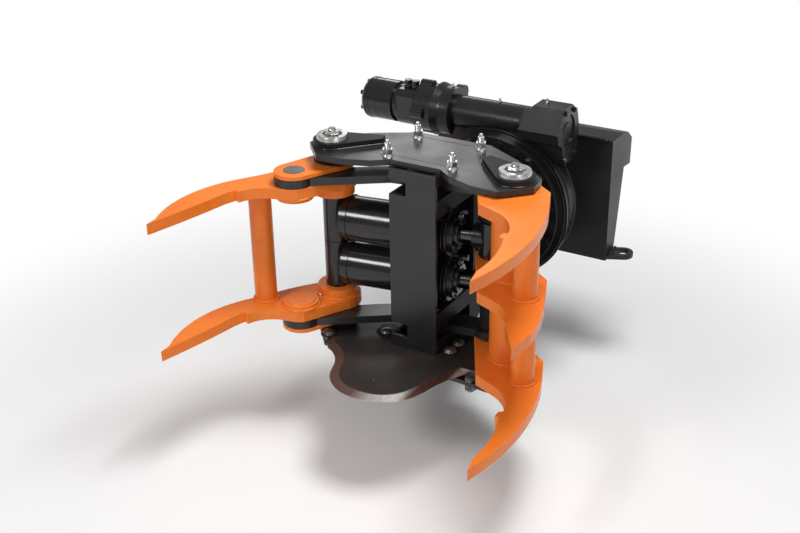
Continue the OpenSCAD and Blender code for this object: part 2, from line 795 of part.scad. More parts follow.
module gland(side) {
    color("#161618") on_cylinder(side) translate([barrel_l - 40, 0, 0]) along_x() difference() {
        union() {
            cylinder(d = barrel_d + 6, h = 16);
            translate([0, 0, 16]) cylinder(d = barrel_d - 14, h = 14);
            translate([0, 0, 30]) cylinder(d = barrel_d - 40, h = 10);
            translate([0, 0, -30]) cylinder(d = bore_d, h = 30);
        }
        translate([0, 0, -31]) cylinder(d = rod_d + 2 * run, h = 90);
    }
}
module upper_gland() { gland(1); }
module lower_gland() { gland(-1); }

module rod(side) {
    color("silver") on_cylinder(side) translate([70, 0, 0]) along_x() {
        cylinder(d = bore_d - 2 * run, h = 36);
        cylinder(d = rod_d, h = cylinder_l - 70 - rod_eye_d / 2 + 6);
    }
}
module upper_rod() { rod(1); }
module lower_rod() { rod(-1); }

module rod_eye(side) {
    color("#161618") on_cylinder(side) translate([cylinder_l, 0, 0]) difference() {
        union() {
            translate([0, 0, -rod_eye_h / 2]) cylinder(d = rod_eye_d, h = rod_eye_h);
            translate([-rod_eye_d / 2 - rod_collar, 0, 0]) along_x() cylinder(d = rod_d + 14, h = 30);
        }
        translate([0, 0, -60]) cylinder(d = rod_pin_d + 2 * open_rod, h = 120);
        translate([-rod_eye_d / 2 - rod_collar - 1, 0, 0]) along_x() cylinder(d = rod_d, h = 19);
    }
}
module upper_rod_eye() { rod_eye(1); }
module lower_rod_eye() { rod_eye(-1); }

hitch_bracket();
hitch_ears();
adapter_plate();
slew_housing();
worm_shaft();
worm_end_cover();
worm_cover_bolts();
bell_housing();
drive_motor();
motor_end_cover();
motor_bolts();
port_fittings();
drive_grease_nipples();
slew_ring();
ring_bolts();
head_flange();
side_plates();
neck_sheets();
front_sheet();
top_plate();
pin_pads();
base_plate();
blade();
blade_bolts();
top_studs();
top_nuts();
left_pivot_pin();
right_pivot_pin();
pin_discs();
pin_nuts();
head_spacers();
left_upper_finger();
left_lower_finger();
left_tube();
left_forks();
left_bosses();
left_link_pins();
left_grease_nipple();
right_top_finger();
right_middle_finger();
right_bottom_finger();
right_hub_tubes();
right_tubes();
right_crank_pin();
crank_spacers();
upper_link();
lower_link();
upper_barrel();
upper_gland();
upper_rod();
upper_rod_eye();
lower_barrel();
lower_gland();
lower_rod();
lower_rod_eye();
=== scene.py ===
# Looks of the tree shear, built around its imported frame: paint, steel, welds, light and camera.
import json
import math

import bmesh
import bpy
from mathutils import Matrix, Vector


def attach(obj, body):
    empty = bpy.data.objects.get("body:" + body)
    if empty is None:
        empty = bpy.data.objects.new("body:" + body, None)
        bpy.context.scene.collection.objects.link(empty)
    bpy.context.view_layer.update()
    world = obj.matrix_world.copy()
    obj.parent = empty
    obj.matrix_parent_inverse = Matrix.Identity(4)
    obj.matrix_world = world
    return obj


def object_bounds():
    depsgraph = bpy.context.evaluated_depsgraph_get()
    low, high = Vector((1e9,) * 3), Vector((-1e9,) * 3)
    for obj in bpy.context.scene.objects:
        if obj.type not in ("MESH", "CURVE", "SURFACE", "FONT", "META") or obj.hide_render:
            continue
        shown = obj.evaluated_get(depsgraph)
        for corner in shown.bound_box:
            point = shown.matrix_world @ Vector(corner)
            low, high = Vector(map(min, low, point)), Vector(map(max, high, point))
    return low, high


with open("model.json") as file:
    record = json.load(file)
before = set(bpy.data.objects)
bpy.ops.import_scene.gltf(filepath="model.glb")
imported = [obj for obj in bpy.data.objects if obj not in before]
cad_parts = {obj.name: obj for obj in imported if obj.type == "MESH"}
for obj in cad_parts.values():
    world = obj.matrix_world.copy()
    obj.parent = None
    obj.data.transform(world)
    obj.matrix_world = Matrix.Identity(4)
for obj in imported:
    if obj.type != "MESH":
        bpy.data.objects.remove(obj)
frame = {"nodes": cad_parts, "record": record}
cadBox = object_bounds()
nodes = frame["nodes"]


# Shader maths: a socket with the operators that the materials below use

class Wire:
    def __init__(self, tree, out):
        self.tree, self.out = tree, out

    def maths(self, operation, a, b):
        return self.tree.node("ShaderNodeMath", {"operation": operation}, [a, b])

    def __add__(self, other): return self.maths("ADD", self, other)
    def __radd__(self, other): return self.maths("ADD", other, self)
    def __sub__(self, other): return self.maths("SUBTRACT", self, other)
    def __rsub__(self, other): return self.maths("SUBTRACT", other, self)
    def __mul__(self, other): return self.maths("MULTIPLY", self, other)
    def __rmul__(self, other): return self.maths("MULTIPLY", other, self)
    def __truediv__(self, other): return self.maths("DIVIDE", self, other)
    def __rtruediv__(self, other): return self.maths("DIVIDE", other, self)
    def most(self, other): return self.maths("MAXIMUM", self, other)

    def over(self, low, high):
        # 0 below low, 1 above high, smooth between
        settings = {"interpolation_type": "SMOOTHSTEP"}
        inputs = {"Value": self, "From Min": low, "From Max": high}
        return self.tree.node("ShaderNodeMapRange", settings, inputs)


class Paint:
    # The node tree of a material or of the world, and a method for each node that they need
    def __init__(self, name, kind="materials"):
        self.owner = getattr(bpy.data, kind).new(name)
        self.owner.use_nodes = True
        self.nodes = self.owner.node_tree.nodes
        self.links = self.owner.node_tree.links

    def feed(self, socket, value):
        if isinstance(value, Wire):
            self.links.new(value.out, socket)
        elif socket.type == "RGBA":
            socket.default_value = (*value, 1)
        else:
            socket.default_value = value

    def node(self, kind, settings=None, inputs=(), output=0):
        made = self.nodes.new(kind)
        for key, value in (settings or {}).items():
            if key == "stops":
                self.setStops(made.color_ramp, value)
            else:
                setattr(made, key, value)
        pairs = inputs.items() if isinstance(inputs, dict) else enumerate(inputs)
        for key, value in pairs:
            self.feed(made.inputs[key], value)
        return Wire(self, made.outputs[output])

    def setStops(self, ramp, stops):
        while len(ramp.elements) < len(stops):
            ramp.elements.new(1)
        for element, (place, colour) in zip(ramp.elements, stops):
            element.position = place
            element.color = (*colour, 1)

    def ramp(self, value, stops):
        return self.node("ShaderNodeValToRGB", {"stops": stops}, [value])

    def place(self):
        return self.node("ShaderNodeTexCoord", output="Object")

    def stretched(self, scale):
        return self.node("ShaderNodeMapping", inputs={"Vector": self.place(), "Scale": scale})

    def noise(self, scale, detail, rough, where=None):
        inputs = {"Vector": where or self.place(), "Scale": scale, "Detail": detail, "Roughness": rough}
        return self.node("ShaderNodeTexNoise", inputs=inputs)

    def cells(self, scale):
        return self.node("ShaderNodeTexVoronoi", inputs={"Vector": self.place(), "Scale": scale})

    def mix(self, factor, a, b):
        # The numbers are the colour sockets of the node
        return self.node("ShaderNodeMix", {"data_type": "RGBA"}, {0: factor, 6: a, 7: b}, output=2)

    def axis(self, letter):
        return self.node("ShaderNodeSeparateXYZ", inputs=[self.place()], output=letter)

    def bump(self, height, distance):
        return self.node("ShaderNodeBump", inputs={"Height": height, "Distance": distance}, output="Normal")

    def use(self, **values):
        for name, value in values.items():
            self.feed(self.nodes["Principled BSDF"].inputs[name.replace("_", " ")], value)
        return self.owner


# Paint and metal colours, as linear values
finish = {
    "black": (0.011, 0.011, 0.012),
    "blackDust": (0.045, 0.042, 0.040),
    "satin": (0.014, 0.014, 0.0145),
    "satinWorn": (0.030, 0.030, 0.031),
    "orange": (0.93, 0.235, 0.030),
    "orangeDeep": (0.82, 0.165, 0.018),
    "orangeBurnt": (0.52, 0.085, 0.010),
    "zinc": (0.74, 0.74, 0.73),
    "zincDark": (0.42, 0.42, 0.41),
    "scale": (0.031, 0.028, 0.0265),
    "scaleBrown": (0.048, 0.035, 0.030),
    "scaleFleck": (0.13, 0.115, 0.105),
    "groundBrown": (0.17, 0.11, 0.085),
    "steel": (0.34, 0.34, 0.34),
    "steelDark": (0.16, 0.155, 0.15),
    "oxide": (0.045, 0.043, 0.042),
    "oxideRubbed": (0.25, 0.245, 0.24),
    # Chrome colours darkened far below real chrome: a painted dark reflection of the dark neck round the
    # rods, with a smear
    "chromePaintedDarkReflection": (0.075, 0.075, 0.078),
    "chromeSmearPaintedDarkReflection": (0.045, 0.045, 0.045),
}


def blackGloss(name, peel, rough):
    # Black gloss paint with a little dust and orange peel
    p = Paint(name)
    dust = p.noise(9, 4, 0.6).over(0.52, 0.82)
    speck = p.noise(900, 2, 0.5).over(0.70, 0.82)
    colour = p.mix(dust * 0.22 + speck * 0.12, finish["black"], finish["blackDust"])
    orangePeel = p.noise(420, 2, 0.55)
    return p.use(Base_Color=colour, Roughness=dust * 0.12 + speck * 0.25 + rough,
                 Normal=p.bump(orangePeel, peel))


# Where the rough cast end block starts, and how softly
castLook = {"blockX": 0.072, "fadeX": 0.004, "blockY": -0.150, "fadeY": 0.012}


def castGloss():
    # Gloss paint over a casting, coarse only on the block at the worm's end
    p = Paint("castGloss")
    c = castLook
    sand = p.axis("X").over(c["blockX"] - c["fadeX"], c["blockX"] + c["fadeX"])
    front = 1 - p.axis("Y").over(c["blockY"] - c["fadeY"], c["blockY"])
    coarse = sand * front
    fine = p.noise(190, 4, 0.6)
    grit = p.noise(330, 3, 0.7) + p.cells(210) * 0.5
    worn = p.noise(14, 3, 0.6).over(0.5, 0.8) * 0.3 + coarse * p.noise(260, 2, 0.6).over(0.5, 0.7) * 0.4
    colour = p.mix(worn, finish["black"], finish["blackDust"])
    return p.use(Base_Color=colour, Roughness=fine * 0.12 + coarse * 0.16 + 0.20,
                 Normal=p.bump(fine * 0.35 + coarse * grit * 1.6, 0.0005), Specular_IOR_Level=0.42)


def plateBlack(name, shine, rough):
    # Flat plates, smoother, and a little greyer where they are handled
    p = Paint(name)
    cloud = p.noise(6, 3, 0.55).over(0.35, 0.75)
    rub = p.noise(38, 4, 0.62).over(0.60, 0.82)
    colour = p.mix(cloud * 0.45 + rub * 0.3, finish["satin"], finish["satinWorn"])
    peel = p.noise(300, 2, 0.5)
    return p.use(Base_Color=colour, Roughness=cloud * 0.10 + rub * 0.08 + rough,
                 Normal=p.bump(peel, 0.00004), Specular_IOR_Level=shine)


def orangeGloss():
    # Orange gloss, deeper where it is thin and burnt in small chips
    p = Paint("orangeGloss")
    cloud = p.noise(7, 3, 0.55)
    thin = p.noise(45, 4, 0.6).over(0.60, 0.80)
    chip = p.noise(320, 3, 0.6).over(0.73, 0.78) * p.noise(9, 2, 0.5).over(0.52, 0.70)
    colour = p.mix(cloud.over(0.3, 0.7) * 0.45 + thin * 0.25, finish["orange"], finish["orangeDeep"])
    colour = p.mix(chip * 0.7, colour, finish["orangeBurnt"])
    peel = p.noise(360, 2, 0.5) + p.noise(60, 2, 0.5) * 0.8
    return p.use(Base_Color=colour, Roughness=cloud * 0.12 + chip * 0.2 + 0.21,
                 Normal=p.bump(peel, 0.00007), Specular_IOR_Level=0.30)


def zincPlate():
    # Bright zinc on the small hardware, clouded
    p = Paint("zincPlate")
    cloud = p.noise(70, 4, 0.6)
    colour = p.mix(cloud.over(0.35, 0.75), finish["zinc"], finish["zincDark"])
    return p.use(Base_Color=colour, Metallic=1.0, Roughness=cloud * 0.20 + 0.20,
                 Normal=p.bump(p.noise(900, 2, 0.5), 0.00003))


def turnedSteel():
    # Bare steel with turning marks
    p = Paint("turnedSteel")
    rings = p.noise(500, 2, 0.5, p.stretched((0.1, 0.1, 4)))
    cloud = p.noise(30, 3, 0.6)
    colour = p.mix(cloud.over(0.4, 0.8) * 0.6, finish["steel"], finish["steelDark"])
    return p.use(Base_Color=colour, Metallic=1.0, Roughness=rings * 0.2 + 0.28,
                 Normal=p.bump(rings, 0.00004))


def wornHead():
    # Bolt heads on the blade: black oxide rubbed back to grey
    p = Paint("wornHead")
    rub = p.noise(120, 4, 0.65).over(0.38, 0.66)
    colour = p.mix(rub, finish["oxide"], finish["oxideRubbed"])
    return p.use(Base_Color=colour, Metallic=rub * 0.6 + 0.3, Roughness=0.5 - rub * 0.12,
                 Normal=p.bump(rub, 0.0002))


def rodChromePaintedDarkReflection():
    # Smeared chrome on the piston rods, its colour darkened far below real chrome as a painted dark
    # reflection of the dark neck around them
    p = Paint("rodChromePaintedDarkReflection")
    smear = p.noise(40, 3, 0.6)
    colour = p.mix(smear.over(0.5, 0.8) * 0.4, finish["chromePaintedDarkReflection"], finish["chromeSmearPaintedDarkReflection"])
    return p.use(Base_Color=colour, Metallic=1.0, Roughness=smear * 0.12 + 0.07)


bladeLook = {"topZ": -0.250, "bevelDrop": 0.0012, "bevelEdge": 0.0002, "reach": 0.30}
# The bevel's colours along X, from the left arm to the right one. The bright stop at 0.762 is a painted
# highlight
heatTintAndPaintedHighlight = [
    (0.000, (0.150, 0.098, 0.080)), (0.450, (0.180, 0.130, 0.110)), (0.530, (0.560, 0.545, 0.530)),
    (0.640, (0.470, 0.450, 0.430)), (0.672, (0.070, 0.028, 0.021)), (0.742, (0.085, 0.040, 0.030)),
    (0.762, (0.620, 0.600, 0.580)), (1.000, (0.300, 0.270, 0.250))]


def bladeSteel():
    # Mill scale on the flat, ground steel on the bevel: bare on the nose, heat brown on the flanks, and a
    # painted highlight near the right end of the bevel
    p = Paint("bladeSteel")
    height = p.axis("Z")
    b = bladeLook
    bevel = 1 - height.over(b["topZ"] - b["bevelDrop"], b["topZ"] - b["bevelEdge"])
    cloud = p.noise(11, 5, 0.62)
    flecks = p.noise(160, 4, 0.65)
    scale = p.mix(cloud.over(0.42, 0.68), finish["scale"], finish["scaleBrown"])
    scale = p.mix(flecks.over(0.60, 0.75) * 0.3, scale, finish["scaleFleck"])
    grind = p.noise(90, 3, 0.6, p.stretched((6, 0.6, 1)))
    along = (p.axis("X") + b["reach"]) / (2 * b["reach"]) + (cloud - 0.5) * 0.03
    # The ramp's colours include a painted highlight near the right end of the bevel
    heatTintAndHighlight = p.ramp(along, heatTintAndPaintedHighlight)
    ground = p.mix(grind.over(0.35, 0.65) * 0.35, heatTintAndHighlight, finish["groundBrown"])
    colour = p.mix(bevel, scale, ground)
    return p.use(Base_Color=colour, Metallic=bevel * 0.45 + 0.25, Specular_IOR_Level=0.35,
                 Roughness=cloud * 0.22 + 0.36 - bevel * 0.10,
                 Normal=p.bump(flecks * (1 - bevel) + grind * bevel * 0.5, 0.00012))


# The black paints: how deep the orange peel is, how rough and how shiny
glossKinds = {
    "blackGloss": {"peel": 0.00005, "rough": 0.20},
    "barrelGloss": {"peel": 0.000015, "rough": 0.17},
}
plateKinds = {
    "plateBlack": {"shine": 0.50, "rough": 0.30},
    "sheetSatin": {"shine": 0.50, "rough": 0.26},
    "bracketSatin": {"shine": 0.34, "rough": 0.34},
    "innerSatin": {"shine": 0.12, "rough": 0.42},
}

print("materials")
made = [castGloss(), orangeGloss(), zincPlate(), turnedSteel(), wornHead(), rodChromePaintedDarkReflection(), bladeSteel()]
made += [blackGloss(name, **kind) for name, kind in glossKinds.items()]
made += [plateBlack(name, **kind) for name, kind in plateKinds.items()]
looks = {material.name: material for material in made}

# Nodes with a look of their own. The others take the look of their slot
nodeLooks = {
    "castGloss": ["slew_housing", "bell_housing", "worm_end_cover", "adapter_plate"],
    "barrelGloss": ["upper_barrel", "lower_barrel", "upper_gland", "lower_gland", "upper_rod_eye",
                    "lower_rod_eye", "drive_motor", "motor_end_cover", "port_fittings"],
    "plateBlack": ["top_plate", "upper_link", "lower_link"],
    "sheetSatin": ["front_sheet"],
    "innerSatin": ["side_plates", "neck_sheets", "head_spacers", "crank_spacers", "pin_pads"],
    "bracketSatin": ["hitch_bracket", "hitch_ears"],
    "wornHead": ["blade_bolts"],
}
slotLooks = {"black_paint": "blackGloss", "orange_paint": "orangeGloss", "zinc": "zincPlate",
             "pin_steel": "turnedSteel", "rod_chrome": "rodChromePaintedDarkReflection", "blade_steel": "bladeSteel"}


def dressNodes():
    slotOf = {part["node"]: part["material_slot"] for part in frame["record"]["subparts"]}
    chosen = {name: look for look, names in nodeLooks.items() for name in names}
    for name, node in nodes.items():
        node.data.materials.clear()
        node.data.materials.append(looks[chosen.get(name, slotLooks[slotOf[name]])])


edgeCut = {"join": 0.00002, "width": 0.0011, "segments": 2, "angle": math.radians(32), "weight": 50}


def softenEdges():
    # Every node gets broken edges that catch the light, and large faces keep their own shading
    for node in nodes.values():
        weld = node.modifiers.new("weld", "WELD")
        weld.merge_threshold = edgeCut["join"]
        cut = node.modifiers.new("edges", "BEVEL")
        cut.width = edgeCut["width"]
        cut.segments = edgeCut["segments"]
        cut.limit_method = "ANGLE"
        cut.angle_limit = edgeCut["angle"]
        shade = node.modifiers.new("shade", "WEIGHTED_NORMAL")
        shade.mode = "FACE_AREA"
        shade.weight = edgeCut["weight"]
        shade.keep_sharp = True


# New pieces: built with bmesh at their place, then given a look and a body.
# Points closer than join become one. The other values are the angles, in degrees, above
# which two faces meet in a sharp edge
pieceLook = {"join": 0.000005, "crisp": 20, "sharp": 35, "soft": 60}


def finishPiece(name, bm, look, body, sharp=pieceLook["sharp"]):
    bmesh.ops.remove_doubles(bm, verts=bm.verts, dist=pieceLook["join"])
    bmesh.ops.recalc_face_normals(bm, faces=bm.faces)
    mesh = bpy.data.meshes.new(name)
    bm.to_mesh(mesh)
    bm.free()
    mesh.shade_smooth()
    mesh.set_sharp_from_angle(angle=math.radians(sharp))
    mesh.materials.append(looks[look])
    piece = bpy.data.objects.new(name, mesh)
    bpy.context.collection.objects.link(piece)
    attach(piece, body)


def newParts(made, kind):
    return [part for part in made if isinstance(part, kind)]


def addCone(bm, sides, low, high, depth, matrix):
    made = bmesh.ops.create_cone(bm, cap_ends=True, segments=sides, radius1=low, radius2=high,
                                 depth=depth, matrix=matrix)
    return made["verts"]


def addCircle(bm, sides, radius, matrix=Matrix()):
    verts = bmesh.ops.create_circle(bm, segments=sides, radius=radius, matrix=matrix)["verts"]
    return verts, list({edge for vert in verts for edge in vert.link_edges})


beadLook = {"size": 0.0044, "pitch": 0.0028, "swell": 0.09, "sides": 8}


def weldBead(bm, path, closed=False, size=beadLook["size"], place=Matrix()):
    # A rope of overlapping beads along a path: one ring of points is drawn from station to station
    stations = []
    for i, point in enumerate(path):
        after = path[(i + 1) % len(path)] if closed or i < len(path) - 1 else point
        before = path[i - 1] if closed or i else point
        turn = (after - before).to_track_quat("Z", "Y").to_matrix().to_4x4()
        swell = size * (1 + beadLook["swell"] * math.cos(math.pi * i))
        stations.append(place @ Matrix.Translation(point) @ turn @ Matrix.Scale(swell, 4))
    if closed:
        stations.append(stations[0])
    edges = first = addCircle(bm, beadLook["sides"], 1, stations[0])[1]
    for before, after in zip(stations, stations[1:]):
        made = bmesh.ops.extrude_edge_only(bm, edges=edges)["geom"]
        verts = newParts(made, bmesh.types.BMVert)
        ends = set(verts)
        edges = [edge for edge in newParts(made, bmesh.types.BMEdge) if ends.issuperset(edge.verts)]
        bmesh.ops.transform(bm, matrix=after @ before.inverted(), verts=verts)
    if not closed:
        bmesh.ops.holes_fill(bm, edges=first + edges, sides=0)


def alongLine(a, b):
    a, b = Vector(a), Vector(b)
    count = max(2, round((b - a).length / beadLook["pitch"]))
    return [a.lerp(b, i / count) for i in range(count + 1)]


def roundRing(centre, radius, start=0, sweep=360):
    # A closed ring has an even number of beads, so that its ends meet
    count = 2 * round(math.radians(sweep) * radius / beadLook["pitch"] / 2)
    turns = [math.radians(start + sweep * i / count) for i in range(count + (sweep < 360))]
    return [Vector(centre) + radius * Vector((math.cos(a), math.sin(a), 0)) for a in turns]


def throughCorners(corners):
    # Evenly spaced points round a closed outline
    spaced = []
    for a, b in zip(corners, corners[1:] + corners[:1]):
        spaced += alongLine(a, b)[:-1]
    return spaced[:len(spaced) // 2 * 2]


armWelds = {"leftTube": (-0.407, -0.730, 0.0302), "leftHub": (-0.260, -0.600, 0.054),
            "leftBoss": (-0.3065, -0.7106, 0.048), "leftFace": 0.159,
            "rightTube": (0.340, -0.693, 0.0302), "rightHub": (0.260, -0.600, 0.054),
            "rightFaces": (0.015, 0.216), "sink": 0.0012}


def makeArmWelds():
    sink = armWelds["sink"]
    bm = bmesh.new()
    for side in (1, -1):
        for name in ("leftTube", "leftHub", "leftBoss"):
            x, y, r = armWelds[name]
            weldBead(bm, roundRing((x, y, side * (armWelds["leftFace"] - sink)), r + sink), True)
    finishPiece("left_arm_welds", bm, "orangeGloss", "left_arm", pieceLook["soft"])
    bm = bmesh.new()
    low, high = armWelds["rightFaces"]
    for z in (low + sink, high - sink, -low - sink, -high + sink):
        for name in ("rightTube", "rightHub"):
            x, y, r = armWelds[name]
            weldBead(bm, roundRing((x, y, z), r + sink), True)
    finishPiece("right_arm_welds", bm, "orangeGloss", "right_arm", pieceLook["soft"])


headWelds = {"sideX": 0.0675, "topZ": 0.2488, "frontY": -0.630, "backY": -0.420, "neckY": -0.2135,
             "neckZ": 0.145, "padZ": 0.2672, "padCorners": [(-0.108, 0.084), (-0.118, 0.058)],
             "padRadius": 0.0505, "padSize": 0.0032, "padStart": -138, "padSweep": 211, "padEvery": 6,
             "pin": (0.26, -0.6)}


def makeHeadWelds():
    w = headWelds
    bm = bmesh.new()
    for side in (1, -1):
        x = side * w["sideX"]
        weldBead(bm, alongLine((x, w["frontY"], w["topZ"]), (x, w["backY"], w["topZ"])))
        weldBead(bm, alongLine((x, w["neckY"], -w["neckZ"]), (x, w["neckY"], w["neckZ"])))
        x, y = side * w["pin"][0], w["pin"][1]
        edge = roundRing((0, 0, 0), w["padRadius"], w["padStart"], w["padSweep"])[::w["padEvery"]]
        edge += [Vector((a, b, 0)) for a, b in w["padCorners"]]
        corners = [Vector((x + side * p.x, y + p.y, w["padZ"])) for p in edge]
        weldBead(bm, throughCorners(corners), True, w["padSize"])
    finishPiece("head_welds", bm, "blackGloss", "head", pieceLook["soft"])


mountWelds = {"spoolRadius": 0.1368, "spoolYs": (-0.0878, -0.0292), "edgeX": 0.262,
              "edgeY": -0.0118, "edgeZ": 0.1752, "edgeSize": 0.0052, "earX": 0.2788, "earZ": -0.1772,
              "earYs": (0.004, 0.060)}


def makeMountWelds():
    w = mountWelds
    bm = bmesh.new()
    upright = Matrix.Rotation(math.radians(90), 4, "X")
    for y in w["spoolYs"]:
        place = Matrix.Translation((0, y, 0)) @ upright
        weldBead(bm, roundRing((0, 0, 0), w["spoolRadius"]), True, place=place)
    top = alongLine((-w["edgeX"], w["edgeY"], w["edgeZ"]), (w["edgeX"], w["edgeY"], w["edgeZ"]))
    weldBead(bm, top, size=w["edgeSize"])
    for side in (1, -1):
        x = side * w["earX"]
        weldBead(bm, alongLine((x, w["earYs"][0], w["earZ"]), (x, w["earYs"][1], w["earZ"])))
    finishPiece("mount_welds", bm, "blackGloss", "mounting", pieceLook["soft"])


studLook = {"places": [(x, y) for x in (-0.092, 0.092) for y in (-0.603, -0.451)], "radius": 0.0079,
            "bottom": 0.2842, "turns": 7, "pitch": 0.002, "ridge": 0.0009, "steps": 20, "sides": 3,
            "pins": [(-0.26, -0.6), (0.26, -0.6)], "pinRadius": 0.0089, "pinBottom": 0.3032, "pinTurns": 2}


def screwThread(bm, place, radius, turns):
    # One small triangle wound up round the stud
    s = studLook
    start = Matrix.Translation(Vector(place) + Vector((radius, 0, 0)))
    verts, ring = addCircle(bm, s["sides"], s["ridge"], start @ Matrix.Rotation(math.radians(90), 4, "X"))
    last = bmesh.ops.spin(bm, geom=verts + ring, cent=place, axis=(0, 0, 1), steps=s["steps"] * turns,
                          dvec=(0, 0, s["pitch"] / s["steps"]), angle=math.tau * turns)["geom_last"]
    bmesh.ops.holes_fill(bm, edges=ring + newParts(last, bmesh.types.BMEdge), sides=0)


def makeThreads():
    s = studLook
    bm = bmesh.new()
    for x, y in s["places"]:
        screwThread(bm, (x, y, s["bottom"]), s["radius"], s["turns"])
    for x, y in s["pins"]:
        screwThread(bm, (x, y, s["pinBottom"]), s["pinRadius"], s["pinTurns"])
    finishPiece("stud_threads", bm, "zincPlate", "head", pieceLook["crisp"])


ringLook = {"ridges": [(-0.1700, 0.2164), (-0.1500, 0.2164), (-0.1120, 0.2160)], "size": 0.0016,
            "seals": [(-0.1915, 0.2195), (-0.1790, 0.2246)], "sealSize": 0.7,
            "steps": 120, "sides": 10}


def spunRing(bm, centre, axis, radius, size, steps=ringLook["steps"]):
    # A ring of round section about an axis
    across = Vector(axis).orthogonal().normalized()
    turn = Vector(axis).cross(across).to_track_quat("Z", "Y").to_matrix().to_4x4()
    place = Matrix.Translation(Vector(centre) + radius * across) @ turn
    verts, ring = addCircle(bm, ringLook["sides"], size, place)
    bmesh.ops.spin(bm, geom=verts + ring, cent=centre, axis=axis, angle=math.tau, steps=steps,
                   use_merge=True)


def makeRings():
    bm = bmesh.new()
    for y, radius in ringLook["ridges"]:
        spunRing(bm, (0, y, 0), (0, 1, 0), radius, ringLook["size"])
    finishPiece("housing_ridges", bm, "blackGloss", "mounting")
    bm = bmesh.new()
    for y, radius in ringLook["seals"]:
        spunRing(bm, (0, y, 0), (0, 1, 0), radius, ringLook["size"] * ringLook["sealSize"])
    finishPiece("ring_edges", bm, "blackGloss", "head")


motorLook = {"axisY": -0.140, "axisZ": 0.234, "size": 0.0012, "steps": 72,
             "bands": [(-0.418, 0.0588), (-0.408, 0.0588), (-0.3835, 0.0572)]}


def makeMotorTrim():
    m = motorLook
    bm = bmesh.new()
    for x, radius in m["bands"]:
        spunRing(bm, (x, m["axisY"], m["axisZ"]), (1, 0, 0), radius, m["size"], m["steps"])
    finishPiece("motor_bands", bm, "barrelGloss", "mounting")


def alongAxis(place, direction):
    # Stands a piece that was made along Z at a place, along a direction
    turn = Vector(direction).to_track_quat("Z", "Y").to_matrix().to_4x4()
    return Matrix.Translation(Vector(place)) @ turn


screwLook = {"sides": 24, "taper": 0.94, "rim": 0.45, "deep": 0.4}


def socketScrew(bm, matrix, radius, length):
    # Cap screw with a sunk socket
    s = screwLook
    verts = addCone(bm, s["sides"], radius, radius * s["taper"], length,
                    matrix @ Matrix.Translation((0, 0, length / 2)))
    top = max({face for vert in verts for face in vert.link_faces if len(face.verts) > 4},
              key=lambda face: (matrix.inverted() @ face.calc_center_median()).z)
    bmesh.ops.inset_individual(bm, faces=[top], thickness=radius * s["rim"])
    sunk = bmesh.ops.extrude_discrete_faces(bm, faces=[top])["faces"][0]
    down = -(matrix.to_3x3() @ Vector((0, 0, 1))).normalized() * length * s["deep"]
    bmesh.ops.translate(bm, verts=sunk.verts, vec=down)


cylinderLook = {"pin": (-0.26, -0.60), "angle": 10.07, "levels": {"upper": 0.065, "lower": -0.065},
                "screwAt": 0.3417, "screwCircle": 0.0465, "screws": 8, "screwRadius": 0.0045,
                "screwLength": 0.0035, "wiperAt": 0.3520, "wiperRadius": 0.0268, "wiperSize": 0.0022,
                "grooves": [(0.3150, 0.0632), (0.3240, 0.0632), (0.3350, 0.0532)], "grooveSize": 0.0013,
                "grooveSteps": 72, "wiperSteps": 48}


def makeGlandTrim():
    c = cylinderLook
    a = math.radians(c["angle"])
    run = Vector((math.cos(a), math.sin(a), 0))
    for name, z in c["levels"].items():
        start = Vector((*c["pin"], z))
        bm = bmesh.new()
        for i in range(c["screws"]):
            turn = math.tau * (i + 0.5) / c["screws"]
            out = Matrix.Rotation(turn, 3, run) @ Vector((0, 0, c["screwCircle"]))
            place = alongAxis(start + run * c["screwAt"] + out, run)
            socketScrew(bm, place, c["screwRadius"], c["screwLength"])
        for at, radius in c["grooves"]:
            spunRing(bm, start + run * at, run, radius, c["grooveSize"], c["grooveSteps"])
        spunRing(bm, start + run * c["wiperAt"], run, c["wiperRadius"], c["wiperSize"], c["wiperSteps"])
        finishPiece(name + "_gland_trim", bm, "barrelGloss", name + "_barrel_body")


elbowLook = {"at": 0.3467, "seat": 0.0385, "boss": 0.0075, "bossHeight": 0.008, "bossSides": 24,
             "hex": 0.0095, "hexHeight": 0.007, "hexAt": 0.0105, "tubeAt": 0.013, "tube": 0.0058,
             "tubeSides": 20, "bend": 0.011, "steps": 12, "nut": 0.94, "nutLength": 0.012}


def makeElbows():
    # Hose elbow on each gland: boss, hexagon, a quarter bend and its nut
    c, e = cylinderLook, elbowLook
    a = math.radians(c["angle"])
    run = Vector((math.cos(a), math.sin(a), 0))
    side = Vector((-math.sin(a), math.cos(a), 0))
    up = Vector((0, 0, 1))
    for name, z in c["levels"].items():
        foot = Vector((*c["pin"], z)) + run * e["at"] + up * e["seat"]
        top = foot + up * e["tubeAt"]
        nut = top + up * e["bend"] + run * (e["bend"] + e["nutLength"] / 2)
        bm = bmesh.new()
        addCone(bm, e["bossSides"], e["boss"], e["boss"], e["bossHeight"],
                Matrix.Translation(foot + up * e["bossHeight"] / 2))
        addCone(bm, 6, e["hex"], e["hex"], e["hexHeight"], Matrix.Translation(foot + up * e["hexAt"]))
        verts, ring = addCircle(bm, e["tubeSides"], e["tube"], Matrix.Translation(top))
        last = bmesh.ops.spin(bm, geom=verts + ring, cent=top + run * e["bend"], axis=side,
                              steps=e["steps"], angle=math.radians(90))["geom_last"]
        bmesh.ops.holes_fill(bm, edges=ring + newParts(last, bmesh.types.BMEdge), sides=0)
        across = e["hex"] * e["nut"]
        addCone(bm, 6, across, across, e["nutLength"], alongAxis(nut, run))
        finishPiece(name + "_elbow", bm, "barrelGloss", name + "_barrel_body")


clampLook = {"centre": (-0.108, -0.588), "radius": 0.034, "z": -0.250, "thick": 0.0055, "edge": 0.0012}


